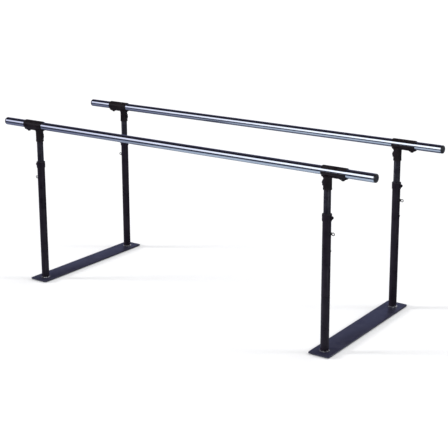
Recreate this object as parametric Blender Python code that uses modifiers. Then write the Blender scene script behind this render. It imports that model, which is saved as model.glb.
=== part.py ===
# Folding, height-adjustable walking bars: two tubular handrails on four telescoping
# uprights, which stand on two flat bases. Metres, +Z up, +X along the rails, origin on
# the floor under the centre. For someone walking towards +X, right is -Y and front is +X.
# Each upright is modelled once, with its outboard side towards +X, and placed four times.

import math

import bmesh
import bpy
from mathutils import Matrix, Vector

# Overall sizes. The overhangs run from a post's axis to the end of the rail or plate.
RAIL_LENGTH = 2.134
RAIL_HEIGHT = 0.809
RAIL_SPACING = 0.646
RAIL_OVERHANG = 0.23
PLATE_OVERHANG = 0.0545

# Gaps: pieces that touch, pieces that slide or swivel, screws in their holes
SEAT_GAP = 0.0003
SLIDE_GAP = 0.0004
HOLE_GAP = 0.0005

# Handrail tube and its end caps
RAIL_RADIUS = 0.01905
RAIL_WALL = 0.0016
CAP_RIM = 0.0025
CAP_DOME = 0.0055
CAP_PLUG = 0.022

# Bases
PLATE_WIDTH = 0.103
PLATE_THICKNESS = 0.0064
PLATE_CORNER = 0.006
PAD_LENGTH = 0.15
PAD_MARGIN = 0.0055
PAD_THICKNESS = 0.003
PAD_CORNER = 0.008

# Outer tube, with the fillet weld at its foot
OUTER_WALL = 0.0016
WELD_LEG = 0.004

# Clamp collar round the outer tube's top, with a split and two lugs
COLLAR_HEIGHT = 0.031
COLLAR_WALL = 0.0022
COLLAR_SPLIT = 0.002
LUG_REACH = 0.008
LUG_HEIGHT = 0.014
LUG_WIDTH = 0.0045
LUG_SCREW_SHARE = 0.42
COLLAR_SCREW_RADIUS = 0.0019
COLLAR_SCREW_LEDGE = 0.0015
COLLAR_SCREW_HEAD = 0.0032

# Bush in the outer tube's top
BUSH_LENGTH = 0.055
BUSH_WALL = 0.000875
BUSH_FLANGE = 0.0014

# Inner tube: a groove for the swivel screw, and a row of holes for the pull pin
INNER_RADIUS = 0.015875
INNER_WALL = 0.0021
INNER_SHOWN = 0.105
INNER_TAIL = 0.12
GROOVE_DEPTH = 0.0011
GROOVE_HEIGHT = 0.0075
HOLE_PITCH = 0.0381
HOLES_BELOW = 6
HOLES_ABOVE = 2
GUIDE_FLANGE = 0.01
GUIDE_PLUG = 0.012
GUIDE_BORE = 0.006

# Pull pin with its ring, its housing, and the guide screw below it
PIN_DROP = 0.085
PIN_RADIUS = 0.003
PIN_LEDGE = 0.0012
PIN_HEAD = 0.0018
RING_RADIUS = 0.006
RING_WIRE = 0.0018
HOUSING_WALL = 0.0018
HOUSING_LEDGE = 0.0026
HOUSING_NUT = 0.0028
HOUSING_REACH = 0.004
GUIDE_SCREW_DROP = 0.076
GUIDE_SCREW_RADIUS = 0.0024
GUIDE_SCREW_LEDGE = 0.0021
GUIDE_SCREW_HEAD = 0.0028

# Bracket: a sleeve open on one side, on a stem that swivels on the inner tube
BRACKET_INBOARD = 0.025
BRACKET_OUTBOARD = 0.092
BRACKET_WALL = 0.0036
BRACKET_FLOOR = 0.0062
FLOOR_WIDTH = 0.026
SLOT_TOP = 0.0125
SLOT_BOTTOM = 0.001
STEM_WALL = 0.002725
STEM_LENGTH = 0.055
STEM_ROOF = 0.0012
BOSS_LENGTH = 0.03
BOSS_WIDTH = 0.022
BOSS_DEPTH = 0.0035
BOSS_INSET = 0.004
GUSSET_HEIGHT = 0.014
GUSSET_WIDTH = 0.008
SCREW_PAD_REACH = 0.0042
SCREW_PAD_WIDTH = 0.015
SCREW_PAD_HEIGHT = 0.025
STEM_SCREW_RADIUS = 0.0025
STEM_SCREW_LEDGE = 0.0025
STEM_SCREW_HEAD = 0.003
STEM_SCREW_RISE = 0.0285
RAIL_BOLT_RADIUS = 0.004
RAIL_BOLT_HEAD = 0.004
RAIL_BOLT_HEX = 0.0075
RAIL_BOLT_GRIP = 0.005

# Facets round the pieces
RAIL_SIDES = 32
TUBE_SIDES = 24
BUSH_SIDES = 16
SCREW_SIDES = 12
HOLE_SIDES = 8

# Lengths, heights and radii that follow from the values above
POST_SPACING = RAIL_LENGTH - 2 * RAIL_OVERHANG
RAIL_TUBE_LENGTH = RAIL_LENGTH - 2 * (CAP_RIM + CAP_DOME + SEAT_GAP)
PLATE_LENGTH = RAIL_SPACING + 2 * PLATE_OVERHANG
PLATE_BOTTOM = PAD_THICKNESS + SEAT_GAP
PLATE_TOP = PLATE_BOTTOM + PLATE_THICKNESS
PAD_WIDTH = PLATE_WIDTH - 2 * PAD_MARGIN
PAD_PLACE = (PLATE_LENGTH - PAD_LENGTH) / 2 - PAD_MARGIN
INNER_BORE = INNER_RADIUS - INNER_WALL
SLIDE_BORE = INNER_RADIUS + SLIDE_GAP
OUTER_BORE = SLIDE_BORE + BUSH_WALL + SEAT_GAP
OUTER_RADIUS = OUTER_BORE + OUTER_WALL
COLLAR_BORE = OUTER_RADIUS + SEAT_GAP
COLLAR_RADIUS = COLLAR_BORE + COLLAR_WALL
SADDLE_BORE = RAIL_RADIUS + SEAT_GAP
SADDLE_RADIUS = SADDLE_BORE + BRACKET_WALL
STEM_RADIUS = SLIDE_BORE + STEM_WALL
SCREW_PAD_FACE = STEM_RADIUS + SCREW_PAD_REACH
SADDLE_BOTTOM = RAIL_HEIGHT - SADDLE_BORE - BRACKET_FLOOR
BOSS_BOTTOM = SADDLE_BOTTOM - BOSS_DEPTH
STEM_BOTTOM = SADDLE_BOTTOM - STEM_LENGTH
STEM_BORE_TOP = SADDLE_BOTTOM - STEM_ROOF
STEM_SCREW_HEIGHT = STEM_BOTTOM + STEM_SCREW_RISE
RAIL_BOLT_PLACE = BRACKET_OUTBOARD - BOSS_INSET - BOSS_LENGTH / 2
COLLAR_TOP = STEM_BOTTOM - INNER_SHOWN
OUTER_TOP = COLLAR_TOP - BUSH_FLANGE - SEAT_GAP
OUTER_BOTTOM = PLATE_TOP + SEAT_GAP
PIN_HEIGHT = COLLAR_TOP - PIN_DROP
PIN_BORE = PIN_RADIUS + SLIDE_GAP
PIN_TIP = SLIDE_BORE
HOUSING_RADIUS = PIN_BORE + HOUSING_WALL
HOUSING_NUT_RADIUS = HOUSING_RADIUS + HOUSING_LEDGE
HOUSING_END = OUTER_RADIUS + HOUSING_REACH
GUIDE_SCREW_HEIGHT = PIN_HEIGHT - GUIDE_SCREW_DROP
INNER_TOP = STEM_BORE_TOP - SEAT_GAP
INNER_BOTTOM = PIN_HEIGHT - HOLES_BELOW * HOLE_PITCH - INNER_TAIL

# Each upright's name, its end along X and its side along Y
CORNERS = {
    "rear_right": (-1, -1),
    "rear_left": (-1, 1),
    "front_right": (1, -1),
    "front_left": (1, 1),
}
ENDS = {"rear": -1, "front": 1}
SIDES = {"right": -1, "left": 1}

# Base colour, roughness and metallic value of each finish
FINISHES = {
    "rail_chrome": ((0.72, 0.73, 0.78), 0.12, 1.0),
    "upright_black": ((0.025, 0.022, 0.03), 0.38, 0.0),
    "inner_tube_black": ((0.04, 0.04, 0.052), 0.3, 0.0),
    "bracket_black": ((0.016, 0.014, 0.018), 0.42, 0.0),
    "base_black": ((0.035, 0.034, 0.062), 0.45, 0.0),
    "cap_plastic": ((0.02, 0.02, 0.024), 0.35, 0.0),
    "bush_nylon": ((0.03, 0.03, 0.032), 0.5, 0.0),
    "pad_rubber": ((0.03, 0.03, 0.03), 0.85, 0.0),
    "black_oxide": ((0.03, 0.03, 0.03), 0.35, 0.8),
}


def clear_scene():
    for item in list(bpy.data.objects):
        bpy.data.objects.remove(item, do_unlink=True)


def new_collection(name):
    collection = bpy.data.collections.new(name)
    bpy.context.scene.collection.children.link(collection)
    return collection


def make_finish(name):
    colour, roughness, metallic = FINISHES[name]
    material = bpy.data.materials.new(name)
    material.use_nodes = True
    shader = material.node_tree.nodes["Principled BSDF"]
    shader.inputs["Base Color"].default_value = (*colour, 1.0)
    shader.inputs["Roughness"].default_value = roughness
    shader.inputs["Metallic"].default_value = metallic
    return material


def blank(mesh):
    """A shape on the bench: cutters and blanks aren't part of the object."""
    item = bpy.data.objects.new(mesh.name, mesh)
    item.display_type = "WIRE"
    item.hide_render = True
    bench.objects.link(item)
    return item


def blank_of(form, name):
    mesh = bpy.data.meshes.new(name)
    form.to_mesh(mesh)
    form.free()
    return blank(mesh)


def block(low, high):
    """A box between two corners."""
    low, high = Vector(low), Vector(high)
    form = bmesh.new()
    place = Matrix.Translation((low + high) / 2) @ Matrix.Diagonal((*(high - low), 1))
    bmesh.ops.create_cube(form, size=1, matrix=place)
    return blank_of(form, "block")


def rod(radius, start, end, sides, half_step=False):
    """A solid cylinder between two points, turned half a step to put flats where corners were."""
    start, end = Vector(start), Vector(end)
    along = end - start
    turn = along.to_track_quat("Z", "Y").to_matrix().to_4x4()
    if half_step:
        turn = turn @ Matrix.Rotation(math.pi / sides, 4, "Z")
    form = bmesh.new()
    bmesh.ops.create_cone(
        form,
        cap_ends=True,
        segments=sides,
        radius1=radius,
        radius2=radius,
        depth=along.length,
        matrix=Matrix.Translation((start + end) / 2) @ turn,
    )
    return blank_of(form, "rod")


def wedge(corners, width):
    """A flat outline in X and Z, given its thickness along Y."""
    form = bmesh.new()
    face = form.faces.new([form.verts.new((x, -width / 2, z)) for x, z in corners])
    pushed = bmesh.ops.extrude_face_region(form, geom=[face])["geom"]
    moved = [item for item in pushed if isinstance(item, bmesh.types.BMVert)]
    bmesh.ops.translate(form, verts=moved, vec=(0, width, 0))
    bmesh.ops.recalc_face_normals(form, faces=form.faces)
    return blank_of(form, "wedge")


def turned(profile, sides, loop=True):
    """A profile of (radius, height) points turned about Z, outer side top to bottom."""
    mesh = bpy.data.meshes.new("turned")
    points = [(radius, 0, height) for radius, height in profile]
    edges = [(i, i + 1) for i in range(len(points) - 1)]
    if loop:
        edges.append((len(points) - 1, 0))
    mesh.from_pydata(points, edges, [])
    item = blank(mesh)
    screw = item.modifiers.new("turn", "SCREW")
    screw.steps = sides
    screw.render_steps = sides
    screw.use_merge_vertices = True
    screw.merge_threshold = 0.00001
    return item


def arc(centre, radius, start, end, steps):
    """Points on an arc about a centre, with angles in degrees from +radius towards +height."""
    angles = [math.radians(start + (end - start) * i / steps) for i in range(steps + 1)]
    return [
        (centre[0] + radius * math.cos(a), centre[1] + radius * math.sin(a))
        for a in angles
    ]


def finished(item, place=None):
    """The blank's mesh with its modifiers applied and put in its place. The blank leaves the bench."""
    bpy.context.view_layer.update()
    graph = bpy.context.evaluated_depsgraph_get()
    mesh = bpy.data.meshes.new_from_object(item.evaluated_get(graph))
    if place is not None:
        mesh.transform(place)
    bpy.data.objects.remove(item, do_unlink=True)
    return mesh


def combined(item, operation, others):
    """The blank joined with, or cut by, the other blanks, which leave the bench."""
    for other in others:
        step = item.modifiers.new(operation.lower(), "BOOLEAN")
        step.operation = operation
        step.solver = "EXACT"
        step.object = other
    mesh = finished(item)
    for other in others:
        bpy.data.objects.remove(other, do_unlink=True)
    return blank(mesh)


def joined(item, *others):
    return combined(item, "UNION", others)


def cut(item, *others):
    return combined(item, "DIFFERENCE", others)


def along_x(height=0.0):
    """Turns a shape made along Z to lie along +X, and lifts it."""
    return Matrix.Translation((0, 0, height)) @ Matrix.Rotation(math.pi / 2, 4, "Y")


def screw_mesh(ledge, head_height, shank_radius, shank_length):
    """A domed screw along Z: the head's seat is at 0, and the shank runs down from it."""
    head_radius = shank_radius + ledge
    profile = [
        (0, head_height),
        (head_radius * 0.6, head_height * 0.88),
        (head_radius, head_height * 0.35),
        (head_radius, 0),
        (shank_radius, 0),
        (shank_radius, -shank_length),
        (0, -shank_length),
    ]
    return turned(profile, SCREW_SIDES, loop=False)


def rail_mesh():
    half = RAIL_TUBE_LENGTH / 2
    bore = RAIL_RADIUS - RAIL_WALL
    profile = [(RAIL_RADIUS, half), (RAIL_RADIUS, -half), (bore, -half), (bore, half)]
    tube = blank(finished(turned(profile, RAIL_SIDES), along_x()))
    place = POST_SPACING / 2 + RAIL_BOLT_PLACE
    hole = RAIL_BOLT_RADIUS + HOLE_GAP
    holes = [
        rod(hole, (end * place, 0, -2 * RAIL_RADIUS), (end * place, 0, 0), SCREW_SIDES)
        for end in (-1, 1)
    ]
    return finished(cut(tube, *holes))


def cap_mesh():
    """Domed end cap, turned about Z with the tube's end at 0, then laid along +X."""
    seat = SEAT_GAP
    rim = seat + CAP_RIM
    plug = RAIL_RADIUS - RAIL_WALL - SEAT_GAP
    edge = CAP_DOME
    dome = arc((RAIL_RADIUS - edge, rim), edge, 90, 0, 3)
    profile = [(0, rim + edge), *dome, (RAIL_RADIUS, seat)]
    profile += [(plug, seat), (plug, -CAP_PLUG), (0, -CAP_PLUG)]
    return finished(turned(profile, TUBE_SIDES, loop=False), along_x())


def slab_mesh(length, width, thickness, corner):
    """A flat slab on Z = 0 with its long side along Y and rounded corners."""
    slab = block((-width / 2, -length / 2, 0), (width / 2, length / 2, thickness))
    form = bmesh.new()
    form.from_mesh(slab.data)
    upright = [e for e in form.edges if abs(e.verts[0].co.z - e.verts[1].co.z) > 0.0001]
    bmesh.ops.bevel(
        form,
        geom=upright,
        offset=corner,
        segments=4,
        profile=0.5,
        affect="EDGES",
    )
    form.to_mesh(slab.data)
    form.free()
    return finished(slab)


def outer_tube_mesh():
    weld = arc((OUTER_RADIUS, OUTER_BOTTOM), WELD_LEG, 90, 0, 3)
    profile = [(OUTER_RADIUS, OUTER_TOP), *weld]
    profile += [(OUTER_BORE, OUTER_BOTTOM), (OUTER_BORE, OUTER_TOP)]
    middle = OUTER_BORE / 2
    beyond = OUTER_RADIUS * 1.5
    holes = [
        rod(radius + HOLE_GAP, (middle, 0, height), (beyond, 0, height), SCREW_SIDES)
        for radius, height in (
            (PIN_RADIUS, PIN_HEIGHT),
            (GUIDE_SCREW_RADIUS, GUIDE_SCREW_HEIGHT),
        )
    ]
    return finished(cut(turned(profile, TUBE_SIDES), *holes))


def bush_mesh():
    seat = OUTER_TOP + SEAT_GAP
    sleeve = OUTER_BORE - SEAT_GAP
    profile = [
        (OUTER_RADIUS - SEAT_GAP, COLLAR_TOP),
        (OUTER_RADIUS - SEAT_GAP, seat),
        (sleeve, seat),
        (sleeve, seat - BUSH_LENGTH),
        (SLIDE_BORE, seat - BUSH_LENGTH),
        (SLIDE_BORE, COLLAR_TOP),
    ]
    return finished(turned(profile, BUSH_SIDES))


def collar_screw_place():
    """Where the pinch screw crosses the lugs: outboard of the ring, at the lugs' middle."""
    return COLLAR_RADIUS + LUG_REACH * LUG_SCREW_SHARE, COLLAR_TOP - COLLAR_HEIGHT / 2


def collar_mesh():
    bottom = COLLAR_TOP - COLLAR_HEIGHT
    side = COLLAR_SPLIT / 2 + LUG_WIDTH
    screw_x, middle = collar_screw_place()
    low, high = middle - LUG_HEIGHT / 2, middle + LUG_HEIGHT / 2
    body = rod(COLLAR_RADIUS, (0, 0, bottom), (0, 0, COLLAR_TOP), TUBE_SIDES)
    lugs = block((COLLAR_BORE, -side, low), (COLLAR_RADIUS + LUG_REACH, side, high))
    body = joined(body, lugs)
    past = 2 * COLLAR_RADIUS
    split = COLLAR_SPLIT / 2
    tools = [
        rod(COLLAR_BORE, (0, 0, bottom - past), (0, 0, COLLAR_TOP + past), TUBE_SIDES),
        block((0, -split, bottom - past), (past, split, COLLAR_TOP + past)),
        rod(
            COLLAR_SCREW_RADIUS + HOLE_GAP,
            (screw_x, -past, middle),
            (screw_x, past, middle),
            HOLE_SIDES,
        ),
    ]
    return finished(cut(body, *tools))


def collar_screw_mesh():
    """Lies along Y at the lugs: its head seats on the +Y lug."""
    screw_x, middle = collar_screw_place()
    side = COLLAR_SPLIT / 2 + LUG_WIDTH
    length = 2 * side + 2 * SEAT_GAP
    screw = screw_mesh(COLLAR_SCREW_LEDGE, COLLAR_SCREW_HEAD, COLLAR_SCREW_RADIUS, length)
    turn = Matrix.Rotation(-math.pi / 2, 4, "X")
    place = Matrix.Translation((screw_x, side + SEAT_GAP, middle))
    return finished(screw, place @ turn)


def inner_tube_mesh():
    groove = INNER_RADIUS - GROOVE_DEPTH
    low = STEM_SCREW_HEIGHT - GROOVE_HEIGHT / 2
    high = STEM_SCREW_HEIGHT + GROOVE_HEIGHT / 2
    profile = [
        (INNER_RADIUS, INNER_TOP),
        (INNER_RADIUS, high),
        (groove, high),
        (groove, low),
        (INNER_RADIUS, low),
        (INNER_RADIUS, INNER_BOTTOM),
        (INNER_BORE, INNER_BOTTOM),
        (INNER_BORE, INNER_TOP),
    ]
    tube = turned(profile, TUBE_SIDES)
    heights = [PIN_HEIGHT + HOLE_PITCH * i for i in range(-HOLES_BELOW, HOLES_ABOVE + 1)]
    start, end = INNER_BORE / 2, INNER_RADIUS * 1.5
    hole = PIN_RADIUS + HOLE_GAP
    # a corner of a hole on the tube's own edge would leave an empty sliver in the solid
    holes = [rod(hole, (start, 0, z), (end, 0, z), HOLE_SIDES, half_step=True) for z in heights]
    return finished(cut(tube, *holes))


def inner_guide_mesh():
    """Nylon plug in the inner tube's foot, whose flange slides in the outer tube."""
    seat = INNER_BOTTOM - SEAT_GAP
    plug = INNER_BORE - SEAT_GAP
    flange = OUTER_BORE - SLIDE_GAP
    profile = [
        (plug, seat + GUIDE_PLUG),
        (plug, seat),
        (flange, seat),
        (flange, seat - GUIDE_FLANGE),
        (GUIDE_BORE, seat - GUIDE_FLANGE),
        (GUIDE_BORE, seat + GUIDE_PLUG),
    ]
    return finished(turned(profile, BUSH_SIDES))


def housing_mesh():
    """Round nut and barrel that hold the pull pin, seated on the outer tube."""
    nut_end = OUTER_RADIUS + HOUSING_NUT
    start = OUTER_RADIUS * 0.8
    body = joined(
        rod(HOUSING_NUT_RADIUS, (start, 0, PIN_HEIGHT), (nut_end, 0, PIN_HEIGHT), 6),
        rod(HOUSING_RADIUS, (start, 0, PIN_HEIGHT), (HOUSING_END, 0, PIN_HEIGHT), SCREW_SIDES),
    )
    low = PIN_HEIGHT - 2 * HOUSING_NUT_RADIUS
    high = PIN_HEIGHT + 2 * HOUSING_NUT_RADIUS
    tools = [
        rod(COLLAR_BORE, (0, 0, low), (0, 0, high), TUBE_SIDES),
        rod(PIN_BORE, (0, 0, PIN_HEIGHT), (2 * HOUSING_END, 0, PIN_HEIGHT), SCREW_SIDES),
    ]
    return finished(cut(body, *tools))


def pull_pin_mesh():
    """Plunger and ring, with the pin's axis on X through the mesh's origin."""
    head = HOUSING_END + SEAT_GAP
    head_radius = PIN_RADIUS + PIN_LEDGE
    ring_place = head + SEAT_GAP + RING_RADIUS + RING_WIRE
    profile = [
        (0, head + PIN_HEAD),
        (head_radius, head + PIN_HEAD),
        (head_radius, head),
        (PIN_RADIUS, head),
        (PIN_RADIUS, PIN_TIP + PIN_RADIUS * 0.2),
        (PIN_RADIUS * 0.8, PIN_TIP),
        (0, PIN_TIP),
    ]
    plunger = blank(finished(turned(profile, SCREW_SIDES, loop=False), along_x()))
    wire = arc((RING_RADIUS, 0), RING_WIRE, 90, -210, 5)
    upright = Matrix.Rotation(math.pi / 2, 4, "X")
    ring = finished(turned(wire, 16), Matrix.Translation((ring_place, 0, 0)) @ upright)
    return finished(joined(plunger, blank(ring)))


def guide_screw_mesh():
    seat = OUTER_RADIUS + SEAT_GAP
    length = seat - SLIDE_BORE
    screw = screw_mesh(GUIDE_SCREW_LEDGE, GUIDE_SCREW_HEAD, GUIDE_SCREW_RADIUS, length)
    lift = Matrix.Translation((seat, 0, GUIDE_SCREW_HEIGHT))
    return finished(screw, lift @ along_x())


def bracket_mesh():
    near, far = -BRACKET_INBOARD, BRACKET_OUTBOARD
    half_floor, half_boss = FLOOR_WIDTH / 2, BOSS_WIDTH / 2
    boss = (far - BOSS_INSET - BOSS_LENGTH, far - BOSS_INSET)
    inside = RAIL_HEIGHT - RAIL_RADIUS / 2
    axis = RAIL_HEIGHT
    pad = (
        STEM_SCREW_HEIGHT - SCREW_PAD_HEIGHT / 2,
        STEM_SCREW_HEIGHT + SCREW_PAD_HEIGHT / 2,
    )
    overlap = SADDLE_BOTTOM + BRACKET_FLOOR / 2
    gusset = [
        (near, overlap),
        (near, SADDLE_BOTTOM),
        (-STEM_RADIUS * 0.9, SADDLE_BOTTOM - GUSSET_HEIGHT),
        (-STEM_RADIUS * 0.9, overlap),
    ]
    body = rod(SADDLE_RADIUS, (near, 0, axis), (far, 0, axis), RAIL_SIDES)
    body = joined(body, block((near, -half_floor, SADDLE_BOTTOM), (far, half_floor, inside)))
    body = joined(body, block((boss[0], -half_boss, BOSS_BOTTOM), (boss[1], half_boss, overlap)))
    body = joined(body, rod(STEM_RADIUS, (0, 0, STEM_BOTTOM), (0, 0, overlap), TUBE_SIDES))
    body = joined(body, wedge(gusset, GUSSET_WIDTH))
    half_pad = SCREW_PAD_WIDTH / 2
    body = joined(
        body,
        block((-SCREW_PAD_FACE, -half_pad, pad[0]), (-STEM_RADIUS * 0.7, half_pad, pad[1])),
    )
    past = 3 * RAIL_RADIUS
    slot_low, slot_high = axis - SLOT_BOTTOM, axis + SLOT_TOP
    body = cut(body, rod(SADDLE_BORE, (near - past, 0, axis), (far + past, 0, axis), RAIL_SIDES))
    body = cut(body, block((near - past, -past, slot_low), (far + past, 0, slot_high)))
    body = cut(
        body,
        rod(SLIDE_BORE, (0, 0, STEM_BOTTOM - past), (0, 0, STEM_BORE_TOP), TUBE_SIDES),
        rod(
            STEM_SCREW_RADIUS + HOLE_GAP,
            (-past, 0, STEM_SCREW_HEIGHT),
            (-INNER_BORE / 2, 0, STEM_SCREW_HEIGHT),
            HOLE_SIDES,
        ),
        rod(
            RAIL_BOLT_RADIUS + HOLE_GAP,
            (RAIL_BOLT_PLACE, 0, BOSS_BOTTOM - past),
            (RAIL_BOLT_PLACE, 0, axis),
            SCREW_SIDES,
        ),
    )
    return finished(body)


def rail_bolt_mesh():
    """Hex bolt from under the boss, through the bracket and the rail's lower wall."""
    seat = BOSS_BOTTOM - SEAT_GAP
    top = RAIL_HEIGHT - RAIL_RADIUS + RAIL_WALL + RAIL_BOLT_GRIP
    x = RAIL_BOLT_PLACE
    head = rod(RAIL_BOLT_HEX, (x, 0, seat - RAIL_BOLT_HEAD), (x, 0, seat), 6)
    shank = rod(RAIL_BOLT_RADIUS, (x, 0, seat - RAIL_BOLT_HEAD / 2), (x, 0, top), SCREW_SIDES)
    return finished(joined(head, shank))


def stem_screw_mesh():
    """Keeps the bracket on the inner tube: its tip runs in the tube's groove."""
    seat = SCREW_PAD_FACE + SEAT_GAP
    tip = INNER_RADIUS - GROOVE_DEPTH + SLIDE_GAP
    screw = screw_mesh(STEM_SCREW_LEDGE, STEM_SCREW_HEAD, STEM_SCREW_RADIUS, seat - tip)
    inboard = Matrix.Rotation(-math.pi / 2, 4, "Y")
    return finished(screw, Matrix.Translation((-seat, 0, STEM_SCREW_HEIGHT)) @ inboard)


def pivot(name, place, turn=0.0):
    """An empty on a joint's axis, which the pieces that it carries hang from."""
    marker = bpy.data.objects.new(name, None)
    marker.empty_display_size = 0.05
    marker.location = place
    marker.rotation_euler = (0, 0, turn)
    parts.objects.link(marker)
    return marker


def add(name, mesh, finish, parent=None, place=(0, 0, 0), turn=0.0):
    """One piece of the object, with a mesh that copies of the piece may share."""
    if not mesh.materials:
        mesh.materials.append(finishes[finish])
        mesh.shade_smooth()
        mesh.set_sharp_from_angle(angle=math.radians(35))
    piece = bpy.data.objects.new(name, mesh)
    piece.location = place
    piece.rotation_euler = (0, 0, turn)
    piece.parent = parent
    parts.objects.link(piece)
    return piece


def add_uprights():
    fixed = {
        "outer_tube": (outer_tube_mesh(), "upright_black"),
        "bush": (bush_mesh(), "bush_nylon"),
        "collar": (collar_mesh(), "upright_black"),
        "collar_screw": (collar_screw_mesh(), "black_oxide"),
        "pin_housing": (housing_mesh(), "black_oxide"),
        "guide_screw": (guide_screw_mesh(), "black_oxide"),
        "inner_tube": (inner_tube_mesh(), "inner_tube_black"),
        "inner_guide": (inner_guide_mesh(), "bush_nylon"),
        "bracket": (bracket_mesh(), "bracket_black"),
        "rail_bolt": (rail_bolt_mesh(), "black_oxide"),
        "stem_screw": (stem_screw_mesh(), "black_oxide"),
    }
    pull_pin = pull_pin_mesh()
    for corner, (end, side) in CORNERS.items():
        place = (end * POST_SPACING / 2, side * RAIL_SPACING / 2, 0)
        axis = pivot(f"{corner}_post_axis", place, 0.0 if end > 0 else math.pi)
        for piece, (mesh, finish) in fixed.items():
            add(f"{corner}_{piece}", mesh, finish, axis)
        add(f"{corner}_pull_pin", pull_pin, "black_oxide", axis, (0, 0, PIN_HEIGHT))


def add_rails():
    rail = rail_mesh()
    cap = cap_mesh()
    for name, side in SIDES.items():
        fold_axis = (-POST_SPACING / 2, side * RAIL_SPACING / 2, RAIL_HEIGHT)
        hinge = pivot(f"{name}_rail_fold_axis", fold_axis)
        middle = POST_SPACING / 2
        add(f"{name}_rail", rail, "rail_chrome", hinge, (middle, 0, 0))
        for where, end in ENDS.items():
            place = (middle + end * RAIL_TUBE_LENGTH / 2, 0, 0)
            turn = 0.0 if end > 0 else math.pi
            add(f"{name}_rail_{where}_cap", cap, "cap_plastic", hinge, place, turn)


def add_bases():
    plate = slab_mesh(PLATE_LENGTH, PLATE_WIDTH, PLATE_THICKNESS, PLATE_CORNER)
    pad = slab_mesh(PAD_LENGTH, PAD_WIDTH, PAD_THICKNESS, PAD_CORNER)
    for where, end in ENDS.items():
        middle = end * POST_SPACING / 2
        add(f"{where}_base_plate", plate, "base_black", None, (middle, 0, PLATE_BOTTOM))
    for corner, (end, side) in CORNERS.items():
        place = (end * POST_SPACING / 2, side * PAD_PLACE, 0)
        add(f"{corner}_pad", pad, "pad_rubber", None, place)


clear_scene()
parts = new_collection("walking_bars")
bench = new_collection("bench")
finishes = {name: make_finish(name) for name in FINISHES}
add_bases()
add_uprights()
add_rails()
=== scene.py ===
# Folding walking bars: two chromed handrails on four black telescoping uprights and two flat bases.
# Each upright piece is modelled once, on a post at the world's middle with its outboard side
# towards +X, and then copied to the four corners.
import math

import bmesh
import bpy
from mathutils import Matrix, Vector


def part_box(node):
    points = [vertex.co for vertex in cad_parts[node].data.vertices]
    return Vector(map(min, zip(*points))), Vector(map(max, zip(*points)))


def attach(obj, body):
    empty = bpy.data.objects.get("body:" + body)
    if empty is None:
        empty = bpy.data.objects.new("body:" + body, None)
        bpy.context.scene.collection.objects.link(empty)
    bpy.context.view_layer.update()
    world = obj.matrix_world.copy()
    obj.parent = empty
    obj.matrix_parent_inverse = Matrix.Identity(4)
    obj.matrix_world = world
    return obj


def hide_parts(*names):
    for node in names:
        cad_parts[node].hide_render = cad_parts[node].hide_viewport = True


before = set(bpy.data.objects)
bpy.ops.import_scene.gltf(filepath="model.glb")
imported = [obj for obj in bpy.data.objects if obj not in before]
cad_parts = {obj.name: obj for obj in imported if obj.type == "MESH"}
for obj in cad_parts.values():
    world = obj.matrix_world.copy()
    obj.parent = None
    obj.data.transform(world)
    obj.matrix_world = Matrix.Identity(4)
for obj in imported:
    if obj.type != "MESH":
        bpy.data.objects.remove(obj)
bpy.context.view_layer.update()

cornerTurn = {"rear_right": math.pi, "rear_left": math.pi, "front_right": 0.0, "front_left": 0.0}
railOf = {"right": "right_handrail", "left": "left_handrail"}


def middleOf(node):
    low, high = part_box(node)
    return (low + high) / 2


def sideOf(corner):
    return corner.split("_")[1]


def endOf(corner):
    return corner.split("_")[0]


postPlace = {corner: middleOf(f"{corner}_outer_tube") for corner in cornerTurn}
seatGap = 0.0003  # between pieces that touch
sample = "front_right"  # the upright whose CAD boxes give the shared heights
samplePost = postPlace[sample]


def localBox(part):
    # a front upright's CAD box, measured from its post's axis
    low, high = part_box(f"{sample}_{part}")
    shift = Vector((samplePost.x, samplePost.y, 0))
    return low - shift, high - shift


# Working habits: one piece at a time is selected, edited and finished

def selectNothing():
    if bpy.context.mode != "OBJECT":
        bpy.ops.object.mode_set(mode="OBJECT")
    bpy.ops.object.select_all(action="DESELECT")


def selectOnly(piece):
    selectNothing()
    piece.select_set(True)
    bpy.context.view_layer.objects.active = piece


def edit(piece):
    selectOnly(piece)
    bpy.ops.object.mode_set(mode="EDIT")


def pick(kind, test):
    # selects what passes the test: a face gives its middle and normal, an edge its middle and direction
    bpy.ops.mesh.select_mode(type=kind)
    bpy.ops.mesh.select_all(action="DESELECT")
    mesh = bpy.context.object.data
    form = bmesh.from_edit_mesh(mesh)
    if kind == "FACE":
        found = [face for face in form.faces if test(face.calc_center_median(), face.normal)]
    elif kind == "EDGE":
        found = [
            edge for edge in form.edges
            if test((edge.verts[0].co + edge.verts[1].co) / 2, edge.verts[1].co - edge.verts[0].co)
        ]
    else:
        found = [vert for vert in form.verts if test(vert.co, vert.normal)]
    for item in found:
        item.select_set(True)
    form.select_flush_mode()
    bmesh.update_edit_mesh(mesh)


def tidyMesh():
    # in edit mode: closes seams and turns the faces outwards
    bpy.ops.mesh.select_mode(type="VERT")
    bpy.ops.mesh.select_all(action="SELECT")
    bpy.ops.mesh.remove_doubles(threshold=0.000001)
    bpy.ops.mesh.normals_make_consistent(inside=False)


def settle(piece, turn=(0.0, 0.0, 0.0), place=(0.0, 0.0, 0.0)):
    # turns and moves the piece, and leaves its object at the origin
    selectOnly(piece)
    bpy.ops.object.transform_apply(location=True, rotation=True, scale=True)
    piece.rotation_euler = turn
    piece.location = place
    bpy.ops.object.transform_apply(location=True, rotation=True, scale=True)
    return piece


def modify(piece, kind, **settings):
    selectOnly(piece)
    step = piece.modifiers.new(kind.lower(), kind)
    for name, value in settings.items():
        setattr(step, name, value)
    bpy.ops.object.modifier_apply(modifier=step.name)


def combine(piece, tool, operation):
    modify(piece, "BOOLEAN", operation=operation, solver="EXACT", object=tool)
    bpy.data.objects.remove(tool, do_unlink=True)
    return piece


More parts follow.
